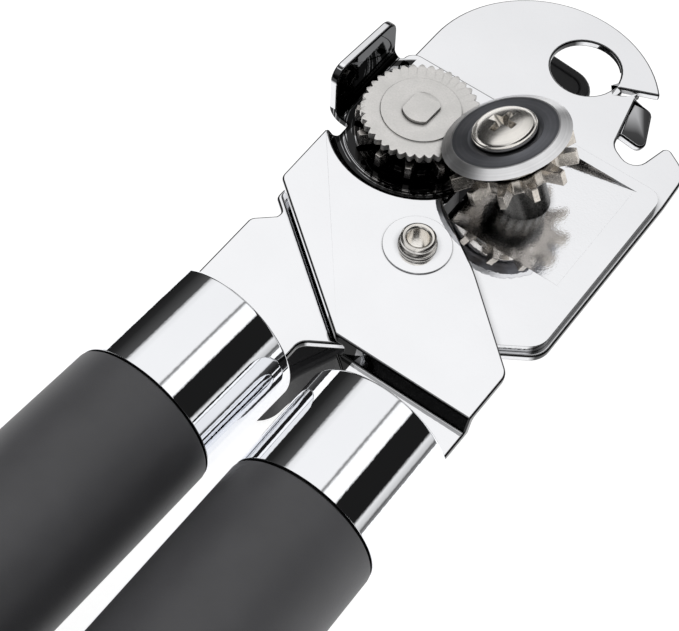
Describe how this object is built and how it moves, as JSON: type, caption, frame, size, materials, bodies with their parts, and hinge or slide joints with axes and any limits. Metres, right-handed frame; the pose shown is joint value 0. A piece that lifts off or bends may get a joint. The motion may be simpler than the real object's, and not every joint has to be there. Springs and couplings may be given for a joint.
{
  "type": "manual can opener",
  "caption": "Hand-held can opener with crossing chromed arms, a geared cutting wheel, a serrated drive wheel, a bar-shaped turning knob and round black grips.",
  "frame": {"origin": "on the axis of the pivot rivet, level with the upper arm's top face", "axes": "+Z along the pivot rivet, out of the cutter side; +Y from the grips to the hang hole; +X to the right seen from the cutter side"},
  "size_m": [0.0589, 0.2144, 0.0449],
  "materials": {
    "chrome_plate": "mirror chrome plating on stamped steel",
    "chrome_tube": "mirror chrome plating on drawn tube",
    "warm_steel": "nickel plated, slightly warm, satin to bright",
    "matte_steel": "fine blasted grey steel",
    "bright_steel": "bright formed steel",
    "hardened_steel": "dark hardened face with a bright ground bevel",
    "black_plastic": "satin black moulded plastic",
    "core_plastic": "plain black moulded plastic",
    "grip_plastic": "satin black plastic with a fine grain"
  },
  "bodies": {
    "lower_arm_body": {"lower_arm": "chrome_plate", "cutter_plate": "chrome_plate", "pivot_rivet": "warm_steel", "pivot_washer": "chrome_plate", "cutter_stud": "matte_steel", "cutter_screw": "warm_steel", "cutter_washer": "matte_steel", "left_ferrule": "chrome_tube", "left_core": "core_plastic", "left_grip": "grip_plastic"},
    "upper_arm_body": {"upper_arm": "chrome_plate", "shaft_bushing": "matte_steel", "drive_washer": "matte_steel", "right_ferrule": "chrome_tube", "right_core": "core_plastic", "right_grip": "grip_plastic"},
    "crank": {"drive_shaft": "matte_steel", "drive_wheel": "matte_steel", "drive_gear": "bright_steel", "spring_washer": "matte_steel", "knob": "black_plastic", "knob_screw": "matte_steel", "knob_cap": "black_plastic"},
    "cutter": {"cutting_wheel": "hardened_steel", "cutter_collar": "warm_steel", "cutter_gear": "bright_steel"}
  },
  "joints": [
    {"name": "handle_pivot", "type": "hinge", "parent": "lower_arm_body", "child": "upper_arm_body", "pos_m": [0, 0, 0], "axis": [0, 0, 1], "range_deg": [0, 42]},
    {"name": "drive_spin", "type": "hinge", "parent": "upper_arm_body", "child": "crank", "pos_m": [-0.0134, 0.0198, 0], "axis": [0, 0, 1], "continuous": true},
    {"name": "cutter_spin", "type": "hinge", "parent": "lower_arm_body", "child": "cutter", "pos_m": [0.00386, 0.0204, 0.00431], "axis": [-0.3907, 0, 0.9205], "continuous": true}
  ],
  "couplings": [
    {"joint": "cutter_spin", "follows": "drive_spin", "ratio": -1}
  ]
}
